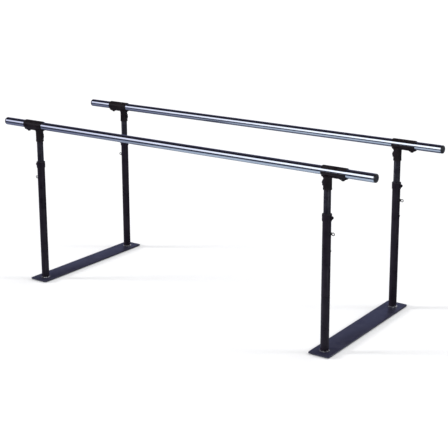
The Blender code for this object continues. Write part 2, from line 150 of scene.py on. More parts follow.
def smooth(piece, angle=32.0):
    selectOnly(piece)
    bpy.ops.object.shade_smooth_by_angle(angle=math.radians(angle))
    return piece


def turned(name, steps, sides=96, hollow=False):
    # a circle at the first (radius, height) is extruded and resized through the others
    selectNothing()
    radius, height = steps[0]
    fill = "NOTHING" if hollow else "NGON"
    bpy.ops.mesh.primitive_circle_add(
        vertices=sides, radius=radius, fill_type=fill, location=(0, 0, height)
    )
    piece = bpy.context.object
    piece.name = name
    bpy.ops.object.mode_set(mode="EDIT")
    bpy.ops.mesh.select_all(action="SELECT")
    for nextRadius, nextHeight in [*steps[1:], *([steps[0]] if hollow else [])]:
        rise = {"value": (0, 0, nextHeight - height)}
        if hollow:
            bpy.ops.mesh.extrude_edges_move(TRANSFORM_OT_translate=rise)
        else:
            bpy.ops.mesh.extrude_region_move(TRANSFORM_OT_translate=rise)
        if nextRadius == 0:
            bpy.ops.mesh.merge(type="CENTER")
            break
        share = nextRadius / radius
        bpy.ops.transform.resize(value=(share, share, 1), center_override=(0, 0, nextHeight))
        radius, height = nextRadius, nextHeight
    tidyMesh()
    return settle(piece)


def rounded(radius, low, high, softness):
    # a hollow tube's outer corners: (radius, height) steps from low to high with a small round
    return [(radius - softness, low), (radius, low + softness),
            (radius, high - softness), (radius - softness, high)]


def quarter(centreRadius, centreHeight, size, start, end, steps):
    # (radius, height) steps along an arc, angles in degrees from outwards towards up
    angles = [math.radians(start + (end - start) * i / steps) for i in range(steps + 1)]
    return [(centreRadius + size * math.cos(a), centreHeight + size * math.sin(a)) for a in angles]


def block(name, low, high, softness=0.0, segments=3, edges=None):
    # a cube between two corners, with its picked edges rounded
    selectNothing()
    low, high = Vector(low), Vector(high)
    bpy.ops.mesh.primitive_cube_add(size=1, location=(low + high) / 2)
    piece = bpy.context.object
    piece.name = name
    piece.scale = high - low
    settle(piece)
    if softness:
        edit(piece)
        pick("EDGE", edges or (lambda middle, way: True))
        bpy.ops.mesh.bevel(offset=softness, segments=segments, affect="EDGES")
        tidyMesh()
        selectNothing()
    return piece


def drill(piece, radius, start, end, sides=32):
    # a round hole between two points
    start, end = Vector(start), Vector(end)
    selectNothing()
    bpy.ops.mesh.primitive_cylinder_add(
        vertices=sides,
        radius=radius,
        depth=(end - start).length,
        location=(start + end) / 2,
        rotation=(end - start).to_track_quat("Z", "Y").to_euler(),
    )
    return combine(piece, bpy.context.object, "DIFFERENCE")


def hexagon(name, radius, low, high, chamfer):
    # a hexagon bar whose corners are turned down at both faces
    bar = turned(name, [(radius, low), (radius, high)], sides=6)
    flat = radius * 0.9
    shape = [(flat, low), (radius, low + chamfer), (radius, high - chamfer), (flat, high)]
    return combine(bar, turned("turnedDown", shape, sides=64), "INTERSECT")


def socketScrew(name, head, height, shank, length, sides=48):
    # along Z: the head's seat is at 0, and the shank runs down from it
    soft = height * 0.2
    steps = [(shank * 0.8, -length), (shank, -length + shank * 0.2), (shank, 0), (head, 0)]
    steps += [(head, height * 0.45), *quarter(head - soft * 2, height - soft * 2, soft * 2, 20, 90, 4)]
    screw = turned(name, steps, sides)
    return combine(screw, turned("key", [(head * 0.5, height * 0.35), (head * 0.5, height * 2)], 6),
                   "DIFFERENCE")


def along(piece, place, outboard=1):
    # lays a piece made along Z along X, pointing outboard or inboard, and moves it there
    return settle(piece, turn=(0, outboard * math.pi / 2, 0), place=place)


madePieces = []


def fit(piece, name, body, material, nodes, turn=0.0, place=(0, 0, 0)):
    # one copy, with its own mesh, in its place in the frame and riding on its body
    copy = piece.copy()
    copy.data = piece.data.copy()
    bpy.context.scene.collection.objects.link(copy)
    copy.name = name
    settle(copy, turn=(0, 0, turn), place=place)
    copy.data.materials.clear()
    copy.data.materials.append(material)
    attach(copy, body)
    if nodes:
        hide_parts(*nodes)
    madePieces.append(copy)
    return copy


def fitCorners(piece, part, body, material, node=None):
    # body is a name with {corner} or {end} in it
    for corner, turn in cornerTurn.items():
        words = corner.split("_")
        name = words[0] + words[1].capitalize() + part
        post = postPlace[corner]
        owner = body.format(corner=corner, end=endOf(corner), side=sideOf(corner))
        nodes = [f"{corner}_{node}"] if node else []
        fit(piece, name, owner, material, nodes, turn, (post.x, post.y, 0))
    bpy.data.objects.remove(piece, do_unlink=True)


# Finishes. Patterns are shared node groups; the shader stays in each material.

def plug(tree, value, socket):
    if isinstance(value, bpy.types.NodeSocket):
        tree.links.new(value, socket)
    else:
        socket.default_value = value


def put(tree, kind, inputs=None, **settings):
    node = tree.nodes.new("ShaderNode" + kind)
    for name, value in settings.items():
        setattr(node, name, value)
    for name, value in (inputs or {}).items():
        plug(tree, value, node.inputs[name])
    return node


def maths(tree, operation, first, second=0.0, third=0.0, clamp=False):
    node = put(tree, "Math", {0: first, 1: second, 2: third}, operation=operation, use_clamp=clamp)
    return node.outputs[0]


def ramp(tree, value, low, high, outLow=0.0, outHigh=1.0):
    names = {"Value": value, "From Min": low, "From Max": high, "To Min": outLow, "To Max": outHigh}
    return put(tree, "MapRange", names, clamp=True, interpolation_type="SMOOTHSTEP").outputs[0]


def mixColours(tree, factor, first, second):
    node = put(tree, "Mix", {0: factor, 6: first, 7: second}, data_type="RGBA")
    return node.outputs[2]


def noise(tree, vector, scale, detail=3.0, roughness=0.5):
    inputs = {"Vector": vector, "Scale": scale, "Detail": detail, "Roughness": roughness}
    return put(tree, "TexNoise", inputs).outputs["Fac"]


def newGroup(name, inputs, outputs):
    group = bpy.data.node_groups.new(name, "ShaderNodeTree")
    for socketName, value in inputs.items():
        kind = "NodeSocketVector" if value is None else "NodeSocketFloat"
        socket = group.interface.new_socket(name=socketName, in_out="INPUT", socket_type=kind)
        if value is not None:
            socket.default_value = value
    for socketName in outputs:
        group.interface.new_socket(name=socketName, in_out="OUTPUT", socket_type="NodeSocketFloat")
    start = group.nodes.new("NodeGroupInput").outputs
    end = group.nodes.new("NodeGroupOutput").inputs
    return group, start, end


def makeEdgeWear():
    # a mask along edges that hands and other steel have rubbed, broken up by noise
    group, start, end = newGroup("edgeWear", {"Vector": None, "Width": 0.0008, "Breakup": 120.0}, ["Mask"])
    rounding = put(group, "Bevel", {"Radius": start["Width"]}, samples=6).outputs[0]
    normal = put(group, "NewGeometry").outputs["Normal"]
    same = put(group, "VectorMath", {0: rounding, 1: normal}, operation="DOT_PRODUCT").outputs["Value"]
    edge = ramp(group, same, 0.995, 0.93)
    broken = ramp(group, noise(group, start["Vector"], start["Breakup"], 4.0, 0.65), 0.42, 0.62)
    plug(group, maths(group, "MULTIPLY", edge, broken), end["Mask"])
    return group


def makeGrain():
    # fine orange peel of a sprayed or cast skin, and the slow change of tone over it
    group, start, end = newGroup("grain", {"Vector": None, "Size": 900.0, "Patch": 14.0}, ["Height", "Tone"])
    fine = noise(group, start["Vector"], start["Size"], 2.0, 0.5)
    slow = noise(group, start["Vector"], start["Patch"], 4.0, 0.6)
    plug(group, fine, end["Height"])
    plug(group, ramp(group, slow, 0.3, 0.7), end["Tone"])
    return group


def makeDust():
    # settles on what faces up, in drifts
    group, start, end = newGroup("dust", {"Vector": None, "Patch": 45.0}, ["Mask"])
    normal = put(group, "NewGeometry").outputs["Normal"]
    upward = put(group, "SeparateXYZ", {0: normal}).outputs["Z"]
    facing = ramp(group, upward, 0.35, 1.0)
    drift = ramp(group, noise(group, start["Vector"], start["Patch"], 6.0, 0.7), 0.35, 0.75)
    plug(group, maths(group, "MULTIPLY", facing, drift), end["Mask"])
    return group


def makeScuffs():
    # long thin scratches: the vector comes in already stretched along them
    group, start, end = newGroup("scuffs", {"Vector": None, "Scale": 160.0, "Sparse": 0.62}, ["Mask"])
    lines = noise(group, start["Vector"], start["Scale"], 2.0, 0.4)
    where = noise(group, start["Vector"], maths(group, "MULTIPLY", start["Scale"], 0.11), 3.0, 0.6)
    thin = ramp(group, lines, start["Sparse"], maths(group, "ADD", start["Sparse"], 0.05))
    plug(group, maths(group, "MULTIPLY", thin, ramp(group, where, 0.42, 0.6)), end["Mask"])
    return group


groups = {"edgeWear": makeEdgeWear(), "grain": makeGrain(), "dust": makeDust(), "scuffs": makeScuffs()}


def useGroup(tree, name, inputs):
    node = tree.nodes.new("ShaderNodeGroup")
    node.node_tree = groups[name]
    for socketName, value in inputs.items():
        plug(tree, value, node.inputs[socketName])
    return node.outputs


def newMaterial(name):
    material = bpy.data.materials.new(name)
    material.use_nodes = True
    tree = material.node_tree
    shader = tree.nodes["Principled BSDF"]
    place = put(tree, "TexCoord").outputs["Object"]
    return material, tree, shader, place


def stretched(tree, place, scale):
    return put(tree, "Mapping", {"Vector": place, "Scale": scale}).outputs[0]


def coated(name, look):
    # sprayed, cast or moulded black: tone drifts, edges rub to a paler tone, dust lies on top
    material, tree, shader, place = newMaterial(name)
    skin = useGroup(tree, "grain", {"Vector": place, "Size": look["grain"], "Patch": look["patch"]})
    worn = useGroup(tree, "edgeWear", {"Vector": place, "Width": look["wearWidth"]})["Mask"]
    dusty = useGroup(tree, "dust", {"Vector": place})["Mask"]
    lines = stretched(tree, place, look["scuffWay"])
    rubbed = useGroup(tree, "scuffs", {"Vector": lines, "Sparse": look["sparse"]})["Mask"]
    colour = mixColours(tree, skin["Tone"], look["dark"], look["light"])
    colour = mixColours(tree, maths(tree, "MULTIPLY", rubbed, look["scuff"]), colour, look["worn"])
    colour = mixColours(tree, maths(tree, "MULTIPLY", worn, look["wear"]), colour, look["worn"])
    colour = mixColours(tree, maths(tree, "MULTIPLY", dusty, look["dust"]), colour, (0.28, 0.27, 0.27, 1))
    plug(tree, colour, shader.inputs["Base Color"])
    rough = ramp(tree, skin["Tone"], 0.0, 1.0, look["smooth"], look["rough"])
    rough = maths(tree, "ADD", rough, maths(tree, "MULTIPLY", dusty, look["dust"] * 0.5))
    rough = maths(tree, "SUBTRACT", rough, maths(tree, "MULTIPLY", worn, 0.08), clamp=True)
    if "bare" in look:  # the brush has left some of the bead's crests unpainted
        bare = ramp(tree, noise(tree, place, look["bare"], 2.0, 0.5), 0.54, 0.6)
        colour = mixColours(tree, bare, colour, (0.7, 0.7, 0.72, 1))
        plug(tree, colour, shader.inputs["Base Color"])
        plug(tree, bare, shader.inputs["Metallic"])
    plug(tree, rough, shader.inputs["Roughness"])
    height = maths(tree, "SUBTRACT", skin["Height"], maths(tree, "MULTIPLY", rubbed, 0.6))
    bump = put(tree, "Bump", {"Height": height, "Strength": look["bump"], "Distance": 0.0002})
    plug(tree, bump.outputs[0], shader.inputs["Normal"])
    shader.inputs["Specular IOR Level"].default_value = look.get("shine", 0.5)
    shader.inputs["Coat Weight"].default_value = look.get("coat", 0.0)
    shader.inputs["Coat Roughness"].default_value = 0.12
    return material


def metal(name, look):
    # bare or plated metal: drawing lines, smears where hands go, tone that drifts
    material, tree, shader, place = newMaterial(name)
    skin = useGroup(tree, "grain", {"Vector": place, "Size": look["grain"], "Patch": look["patch"]})
    lines = stretched(tree, place, look["lineWay"])
    drawn = noise(tree, lines, look["lines"], 3.0, 0.6)
    rubbed = useGroup(tree, "scuffs",
                      {"Vector": lines, "Scale": look["lines"], "Sparse": look["sparse"]})["Mask"]
    worn = useGroup(tree, "edgeWear", {"Vector": place, "Width": look["wearWidth"]})["Mask"]
    colour = mixColours(tree, skin["Tone"], look["dark"], look["light"])
    colour = mixColours(tree, maths(tree, "MULTIPLY", worn, look["wear"]), colour, look["worn"])
    plug(tree, colour, shader.inputs["Base Color"])
    rough = ramp(tree, skin["Tone"], 0.0, 1.0, look["smooth"], look["rough"])
    rough = maths(tree, "ADD", rough, maths(tree, "MULTIPLY", rubbed, 0.12))
    rough = maths(tree, "ADD", rough, maths(tree, "MULTIPLY", drawn, look["lineDepth"]), clamp=True)
    plug(tree, rough, shader.inputs["Roughness"])
    height = maths(tree, "MULTIPLY_ADD", drawn, look["lineDepth"] * 10,
                   maths(tree, "MULTIPLY", skin["Height"], 0.3))
    bump = put(tree, "Bump", {"Height": height, "Strength": look["bump"], "Distance": 0.0001})
    plug(tree, bump.outputs[0], shader.inputs["Normal"])
    shader.inputs["Metallic"].default_value = look["metallic"]
    return material


coats = {
    "uprightBlack": {
        "dark": (0.0065, 0.0045, 0.0085, 1), "light": (0.012, 0.009, 0.015, 1),
        "worn": (0.06, 0.056, 0.064, 1),
        "smooth": 0.26, "rough": 0.38, "grain": 700.0, "patch": 18.0, "bump": 0.12,
        "wear": 0.4, "shine": 0.14,
        "wearWidth": 0.0008, "dust": 0.05, "scuff": 0.2, "sparse": 0.66, "scuffWay": (1, 1, 0.06),
    },
    "innerTubeBlack": {
        "dark": (0.009, 0.008, 0.013, 1), "light": (0.017, 0.016, 0.023, 1), "worn": (0.08, 0.08, 0.095, 1),
        "smooth": 0.2, "rough": 0.32, "grain": 1100.0, "patch": 26.0, "bump": 0.08,
        "wear": 0.5, "shine": 0.22,
        "wearWidth": 0.0006, "dust": 0.04, "scuff": 0.4, "sparse": 0.6, "scuffWay": (1, 1, 0.03),
    },
    "bracketBlack": {
        "dark": (0.0045, 0.0028, 0.004, 1), "light": (0.009, 0.006, 0.0075, 1),
        "worn": (0.06, 0.052, 0.055, 1),
        "smooth": 0.34, "rough": 0.5, "grain": 420.0, "patch": 30.0, "bump": 0.35,
        "wear": 0.35, "shine": 0.16,
        "wearWidth": 0.0012, "dust": 0.05, "scuff": 0.12, "sparse": 0.68, "scuffWay": (0.3, 1, 1),
    },
    "baseBlack": {
        "dark": (0.009, 0.0085, 0.020, 1), "light": (0.016, 0.0165, 0.037, 1), "worn": (0.07, 0.07, 0.095, 1),
        "smooth": 0.28, "rough": 0.4, "grain": 600.0, "patch": 9.0, "bump": 0.14, "wear": 0.45, "shine": 0.5,
        "wearWidth": 0.001, "dust": 0.06, "scuff": 0.25, "sparse": 0.64, "scuffWay": (0.35, 0.12, 1),
    },
    "capPlastic": {
        "dark": (0.006, 0.006, 0.008, 1), "light": (0.012, 0.012, 0.015, 1), "worn": (0.05, 0.05, 0.055, 1),
        "smooth": 0.3, "rough": 0.44, "grain": 1500.0, "patch": 40.0, "bump": 0.2, "wear": 0.35,
        "wearWidth": 0.0007, "dust": 0.10, "scuff": 0.3, "sparse": 0.6, "scuffWay": (1, 0.4, 1),
    },
    "bushNylon": {
        "dark": (0.02, 0.02, 0.021, 1), "light": (0.034, 0.034, 0.035, 1), "worn": (0.12, 0.12, 0.12, 1),
        "smooth": 0.42, "rough": 0.55, "grain": 1600.0, "patch": 60.0, "bump": 0.15, "wear": 0.3,
        "wearWidth": 0.0004, "dust": 0.15, "scuff": 0.4, "sparse": 0.6, "scuffWay": (1, 1, 0.05),
    },
    "padRubber": {
        "dark": (0.014, 0.014, 0.014, 1), "light": (0.03, 0.029, 0.028, 1), "worn": (0.16, 0.155, 0.15, 1),
        "smooth": 0.78, "rough": 0.92, "grain": 800.0, "patch": 50.0, "bump": 0.5, "wear": 0.5,
        "wearWidth": 0.0006, "dust": 0.3, "scuff": 0.2, "sparse": 0.62, "scuffWay": (1, 0.3, 1), "shine": 0.3,
    },
    "weldBlack": {
        "dark": (0.012, 0.011, 0.016, 1), "light": (0.022, 0.02, 0.028, 1), "worn": (0.2, 0.2, 0.22, 1),
        "smooth": 0.14, "rough": 0.26, "grain": 500.0, "patch": 60.0, "bump": 0.25, "wear": 0.35,
        "wearWidth": 0.0006, "dust": 0.05, "scuff": 0.1, "sparse": 0.66, "scuffWay": (1, 1, 1), "coat": 0.6,
        "bare": 190.0,
    },
}

metals = {
    "railChrome": {
        "dark": (0.6, 0.63, 0.71, 1), "light": (0.66, 0.69, 0.76, 1), "worn": (0.75, 0.76, 0.8, 1),
        "metallic": 1.0, "smooth": 0.05, "rough": 0.1, "grain": 300.0, "patch": 9.0, "bump": 0.03,
        "wear": 0.4, "wearWidth": 0.0006, "lineWay": (0.04, 1, 1),
        "lines": 700.0, "lineDepth": 0.04, "sparse": 0.64,
    },
    "blackOxide": {
        "dark": (0.018, 0.018, 0.02, 1), "light": (0.035, 0.034, 0.037, 1), "worn": (0.3, 0.3, 0.31, 1),
        "metallic": 0.75, "smooth": 0.26, "rough": 0.4, "grain": 900.0, "patch": 150.0, "bump": 0.12,
        "wear": 0.5, "wearWidth": 0.0004, "lineWay": (1, 1, 1),
        "lines": 1200.0, "lineDepth": 0.05, "sparse": 0.6,
    },
}

finishes = {name: coated(name, look) for name, look in coats.items()}
finishes.update({name: metal(name, look) for name, look in metals.items()})
print("finishes made:", len(finishes))


# Handrails

rail = {"wall": 0.0016, "edge": 0.0004, "boltHole": 0.0045}


def makeRails():
    low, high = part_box("right_rail")
    middle = (low + high) / 2
    radius = (high.z - low.z) / 2
    half = (high.x - low.x) / 2
    bore = radius - rail["wall"]
    steps = rounded(radius, -half, half, rail["edge"]) + [(bore, half), (bore, -half)]
    tube = along(turned("railTube", steps, hollow=True), (0, 0, 0))
    for end in ("rear", "front"):
        place = middleOf(f"{end}_right_rail_bolt").x
        drill(tube, rail["boltHole"], (place, 0, -2 * radius), (place, 0, 0))
    smooth(tube)
    for side, body in railOf.items():
        centre = middleOf(f"{side}_rail")
        fit(tube, f"{side}RailTube", body,
            finishes["railChrome"], [f"{side}_rail"], 0.0, centre)
    bpy.data.objects.remove(tube, do_unlink=True)


cap = {"dome": 0.0055, "recess": 0.0009, "rimWidth": 0.0032}


def makeCaps():
    # built along Z with the tube's end at 0: a plug with ribs, a rim, and a dome with a recessed face
    low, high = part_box("right_rail_front_cap")
    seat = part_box("right_rail")[1].x
    radius = (high.z - low.z) / 2
    length = seat - low.x
    bore = radius - rail["wall"] - seatGap
    top = high.x - seat
    face = radius - cap["dome"]
    steps = [(bore - 0.001, -length)]
    for rib in range(4):  # ribs that grip the tube's bore
        at = -length + 0.002 + rib * 0.0045
        steps += [(bore - 0.0008, at), (bore, at + 0.0012),
                  (bore - 0.0002, at + 0.0024), (bore - 0.0008, at + 0.003)]
    steps += [(bore - 0.0008, 0.0003), (radius - 0.0003, 0.0003), (radius, 0.0006)]
    steps += quarter(face, top - cap["dome"], cap["dome"], 0, 75, 7)
    inner = face - cap["rimWidth"] + 0.0025
    steps += [(inner + 0.0006, top), (inner, top - 0.0002), (inner - 0.0004, top - cap["recess"])]
    steps += [(inner - 0.004, top - cap["recess"] - 0.0002), (inner - 0.0046, top - cap["recess"] + 0.0002)]
    steps += [(inner - 0.0052, top - cap["recess"] - 0.0002), (0.0016, top - cap["recess"] - 0.0003)]
    steps += [(0.0012, top - cap["recess"]), (0, top - cap["recess"])]
    piece = smooth(along(turned("cap", steps), (0, 0, 0)), 40)
    for side, body in railOf.items():
        for end, turn in (("front", 0.0), ("rear", math.pi)):
            node = f"{side}_rail_{end}_cap"
            railLow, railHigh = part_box(f"{side}_rail")
            centre = (railLow + railHigh) / 2
            centre.x = railHigh.x if end == "front" else railLow.x
            fit(piece, f"{side}{end.capitalize()}Cap", body,
                finishes["capPlastic"], [node], turn, centre)
    bpy.data.objects.remove(piece, do_unlink=True)


makeRails()
makeCaps()
print("handrails and caps done")


# Bases

plate = {"corner": 0.006, "edge": 0.0007}
pad = {"corner": 0.008, "edge": 0.0005, "grooves": 12,
       "grooveWidth": 0.004, "grooveDepth": 0.0012, "margin": 0.01}


def slab(name, low, high, corner, edge):
    # upright corners rounded first, then the long edges eased
    def upright(middle, way):
        return abs(way.z) > 0.9 * way.length
    piece = block(name, low, high, corner, 10, upright)
    edit(piece)
    pick("FACE", lambda middle, normal: abs(normal.z) > 0.9)
    bpy.ops.mesh.region_to_loop()
    bpy.ops.mesh.bevel(offset=edge, segments=3, affect="EDGES")
    tidyMesh()
    selectNothing()
    return piece


def makePlates():
    for end in ("rear", "front"):
        low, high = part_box(f"{end}_base_plate")
        piece = smooth(slab("plate", low, high, plate["corner"], plate["edge"]), 40)
        nodes = [f"{end}_base_plate"]
        fit(piece, f"{end}BasePlate", f"{end}_base", finishes["baseBlack"], nodes)
        bpy.data.objects.remove(piece, do_unlink=True)


def makePads():
    # grooves across the underside, closed at their ends
    for corner in cornerTurn:
        low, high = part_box(f"{corner}_pad")
        piece = slab("pad", low, high, pad["corner"], pad["edge"])
        pitch = (high.y - low.y - 2 * pad["margin"]) / pad["grooves"]
        starts = [low.y + pad["margin"] + pitch * (i + 0.5) - pad["grooveWidth"] / 2
                  for i in range(pad["grooves"])]
        edit(piece)
        for start in starts:
            for cutAt in (start, start + pad["grooveWidth"]):
                bpy.ops.mesh.select_all(action="SELECT")
                bpy.ops.mesh.bisect(plane_co=(0, cutAt, 0), plane_no=(0, 1, 0))
        for cutAt in (low.x + pad["margin"], high.x - pad["margin"]):
            bpy.ops.mesh.select_all(action="SELECT")
            bpy.ops.mesh.bisect(plane_co=(cutAt, 0, 0), plane_no=(1, 0, 0))

        def inGroove(middle, normal):
            across = low.x + pad["margin"] < middle.x < high.x - pad["margin"]
            return normal.z < -0.9 and across and any(s < middle.y < s + pad["grooveWidth"] for s in starts)
        pick("FACE", inGroove)
        bpy.ops.mesh.extrude_region_move(TRANSFORM_OT_translate={"value": (0, 0, pad["grooveDepth"])})
        tidyMesh()
        selectNothing()
        smooth(piece, 40)
        words = corner.split("_")
        name = words[0] + words[1].capitalize() + "Pad"
        fit(piece, name, f"{words[0]}_base", finishes["padRubber"], [f"{corner}_pad"])
        bpy.data.objects.remove(piece, do_unlink=True)


makePlates()
makePads()
print("bases done")


# Outer tubes, with their welds, bushes and clamp collars

outer = {"radius": 0.01905, "wall": 0.0016, "edge": 0.0003,
         "weldLeg": 0.004, "ripples": 48, "ripple": 0.00028}
slide = {"pinHole": 0.0035, "screwHole": 0.0029}
outerLow, outerHigh = (corner.z for corner in localBox("outer_tube"))
pinHeight = middleOf(f"{sample}_pin_housing").z
guideHeight = middleOf(f"{sample}_guide_screw").z


def makeOuterTubes():
    radius, bore = outer["radius"], outer["radius"] - outer["wall"]
    steps = rounded(radius, outerLow, outerHigh, outer["edge"]) + [(bore, outerHigh), (bore, outerLow)]
    tube = turned("outerTube", steps, hollow=True)
    for size, height in ((slide["pinHole"], pinHeight), (slide["screwHole"], guideHeight)):
        drill(tube, size, (bore * 0.7, 0, height), (radius * 1.3, 0, height))
    fitCorners(smooth(tube), "OuterTube", "{end}_base",
               finishes["uprightBlack"], "outer_tube")


def makeWelds():
    # a fillet bead, swollen at every third row of points so that it shows its ripples
    radius, leg = outer["radius"], outer["weldLeg"]
    sides = outer["ripples"] * 3
    steps = quarter(radius, outerLow, leg, 0, 90, 8) + [(radius, outerLow)]
    bead = turned("weld", steps, sides, hollow=True)
    edit(bead)

    def crest(place, normal):
        away = math.hypot(place.x, place.y)
        row = round(math.atan2(place.y, place.x) / (2 * math.pi) * sides)
        return row % 3 == 0 and away > radius + 0.0004 and place.z > outerLow + 0.0003
    pick("VERT", crest)
    bpy.ops.transform.shrink_fatten(value=outer["ripple"])
    selectNothing()
    fitCorners(smooth(bead, 60), "Weld", "{end}_base", finishes["weldBlack"])


bush = {"edge": 0.0002}


def makeBushes():
    low, high = localBox("bush")
    flange = (high.x - low.x) / 2
    seat = outerHigh + seatGap
    sleeve = outer["radius"] - outer["wall"] - seatGap
    bore = localBox("inner_tube")[1].x + 0.0004
    steps = [(bore, low.z), (sleeve, low.z), (sleeve, seat), (flange, seat)]
    steps += [(flange, high.z - bush["edge"]), (flange - bush["edge"], high.z), (bore + 0.0003, high.z)]
    steps += [(bore, high.z - 0.0003)]
    fitCorners(smooth(turned("bush", steps, hollow=True)), "Bush", "{end}_base",
               finishes["bushNylon"], "bush")


collar = {"ring": 0.02155, "lugWidth": 0.0045, "split": 0.002,
          "lugHeight": 0.014, "edge": 0.0006, "hole": 0.0024}


def makeCollars():
    low, high = localBox("collar")
    ring, edge = collar["ring"], collar["edge"]
    bore = outer["radius"] + seatGap
    middle = (low.z + high.z) / 2
    steps = [(bore, low.z + 0.0003), (bore + 0.0003, low.z), (ring - edge, low.z), (ring, low.z + edge)]
    steps += [(ring, high.z - edge), (ring - edge, high.z), (bore + 0.0003, high.z), (bore, high.z - 0.0003)]
    band = turned("collar", steps, hollow=True)
    side = collar["split"] / 2 + collar["lugWidth"]
    reach = (middle - collar["lugHeight"] / 2, middle + collar["lugHeight"] / 2)

    def lugCorner(place, way):
        return abs(way.y) > 0.9 * way.length and place.x > ring
    lugs = block("lugs", (bore + 0.001, -side, reach[0]), (high.x, side, reach[1]), 0.005, 8, lugCorner)
    modify(lugs, "BEVEL", width=0.0005, segments=2, limit_method="ANGLE", angle_limit=math.radians(40))
    combine(band, lugs, "UNION")
    gap = collar["split"] / 2
    combine(band, block("split", (0, -gap, low.z - 0.01), (0.05, gap, high.z + 0.01)), "DIFFERENCE")
    place = middleOf(f"{sample}_collar_screw")
    drill(band, collar["hole"], (place.x - samplePost.x, -0.02, place.z),
          (place.x - samplePost.x, 0.02, place.z))
    fitCorners(smooth(band), "Collar", "{end}_base", finishes["uprightBlack"], "collar")


pinch = {"head": 0.0034, "height": 0.0032, "shank": 0.0019}


def makePinchScrews():
    low, high = localBox("collar_screw")
    seat = high.y - pinch["height"]
    screw = socketScrew("pinchScrew", pinch["head"], pinch["height"], pinch["shank"], seat - low.y)
    middle = (low + high) / 2
    settle(screw, turn=(-math.pi / 2, 0, 0), place=(middle.x, seat, middle.z))
    fitCorners(smooth(screw), "CollarScrew", "{end}_base",
               finishes["blackOxide"], "collar_screw")


makeOuterTubes()
makeWelds()
makeBushes()
makeCollars()
makePinchScrews()
print("outer tubes, welds, bushes and collars done")


# Pull pins, their housings and the guide screws

housing = {"nut": 0.0078, "nutEnd": 0.02185, "barrel": 0.0052, "bore": 0.0034, "knurls": 24, "knurl": 0.00018,
           "neckDepth": 0.0006, "neckLength": 0.0002, "shoulder": 0.0002, "chamfer": 0.0003}
pin = {"radius": 0.003, "head": 0.0042, "headLength": 0.0018, "ring": 0.006,
       "wire": 0.0018, "tip": 0.0006, "pressed": 0.85}
guide = {"head": 0.0045, "height": 0.0028, "shank": 0.0024}


def makeHousings():
    low, high = localBox("pin_housing")
    start = low.x - 0.002
    nut = hexagon("housing", housing["nut"], start, housing["nutEnd"], 0.0008)
    barrel = housing["barrel"]
    neck = housing["nutEnd"]
    narrow, grip = barrel - housing["neckDepth"], barrel - housing["shoulder"]
    steps = [(barrel, start), (narrow, neck), (narrow, neck + housing["neckLength"])]
    steps += [(grip, neck + housing["neckLength"] + housing["shoulder"])]
    steps += [(grip, high.x - housing["chamfer"]), (grip - housing["chamfer"], high.x)]
    body = turned("barrel", steps, housing["knurls"] * 2)
    edit(body)

    def knurl(middle, normal):
        row = math.floor(math.atan2(middle.y, middle.x) / (2 * math.pi) * housing["knurls"] * 2)
        return row % 2 == 0 and abs(normal.z) < 0.1 and middle.z > neck + 0.0005
    pick("FACE", knurl)
    bpy.ops.mesh.extrude_faces_move(TRANSFORM_OT_shrink_fatten={"value": housing["knurl"]})
    bpy.ops.mesh.select_all(action="SELECT")
    bpy.ops.mesh.normals_make_consistent(inside=False)
    selectNothing()
    combine(nut, body, "UNION")
    along(nut, (0, 0, pinHeight))
    seat = outer["radius"] + seatGap
    drill(nut, seat, (0, 0, pinHeight - 0.03), (0, 0, pinHeight + 0.03), 96)
    drill(nut, housing["bore"], (0, 0, pinHeight), (0.06, 0, pinHeight), 48)
    fitCorners(smooth(nut), "PinHousing", "{end}_base", finishes["blackOxide"], "pin_housing")


def makePullPins():
    low = localBox("pull_pin")[0]
    head = localBox("pin_housing")[1].x + seatGap
    radius, top = pin["radius"], head + pin["headLength"]
    steps = [(radius * 0.8, low.x), (radius, low.x + pin["tip"]), (radius, head),
             (pin["head"] - 0.0003, head)]
    steps += [(pin["head"], head + 0.0003), (pin["head"], top - 0.0005), (pin["head"] - 0.0005, top)]
    plunger = along(turned("plunger", steps, 48), (0, 0, pinHeight))
    wirePlace = head + seatGap + pin["wire"]
    ringPlace = wirePlace + pin["ring"]
    selectNothing()
    bpy.ops.mesh.primitive_torus_add(
        major_radius=pin["ring"], minor_radius=pin["wire"], major_segments=56, minor_segments=18,
        location=(ringPlace, 0, pinHeight), rotation=(math.pi / 2, 0, 0),
    )
    ring = bpy.context.object
    settle(ring)
    edit(ring)  # the wire is pressed a little flat where it passes through the head
    pick("VERT", lambda place, normal: place.x < top + 0.0004)
    bpy.ops.transform.resize(value=(1, pin["pressed"], 1), center_override=(top, 0, pinHeight))
    selectNothing()
    slot = (wirePlace, 0, pinHeight - 0.01), (wirePlace, 0, pinHeight + 0.01)
    drill(plunger, pin["wire"] * 1.05, *slot, 24)
    fitCorners(smooth(plunger), "PinPlunger", "{corner}_pin",
               finishes["blackOxide"], "pull_pin")
    fitCorners(smooth(ring, 60), "PinRing", "{corner}_pin", finishes["blackOxide"])


def makeGuideScrews():
    low, high = localBox("guide_screw")
    seat = high.x - guide["height"]
    screw = socketScrew("guideScrew", guide["head"], guide["height"], guide["shank"], seat - low.x)
    along(screw, (seat, 0, guideHeight))
    fitCorners(smooth(screw), "GuideScrew", "{end}_base",
               finishes["blackOxide"], "guide_screw")


makeHousings()
makePullPins()
makeGuideScrews()
print("pull pins and guide screws done")


# Inner tubes and their foot plugs

inner = {"wall": 0.0021, "edge": 0.0003, "grooveDepth": 0.0011, "grooveHeight": 0.0075, "pitch": 0.0381,
         "below": 6, "above": 2, "hole": 0.0035}
stemScrewHeight = middleOf(f"{sample}_stem_screw").z


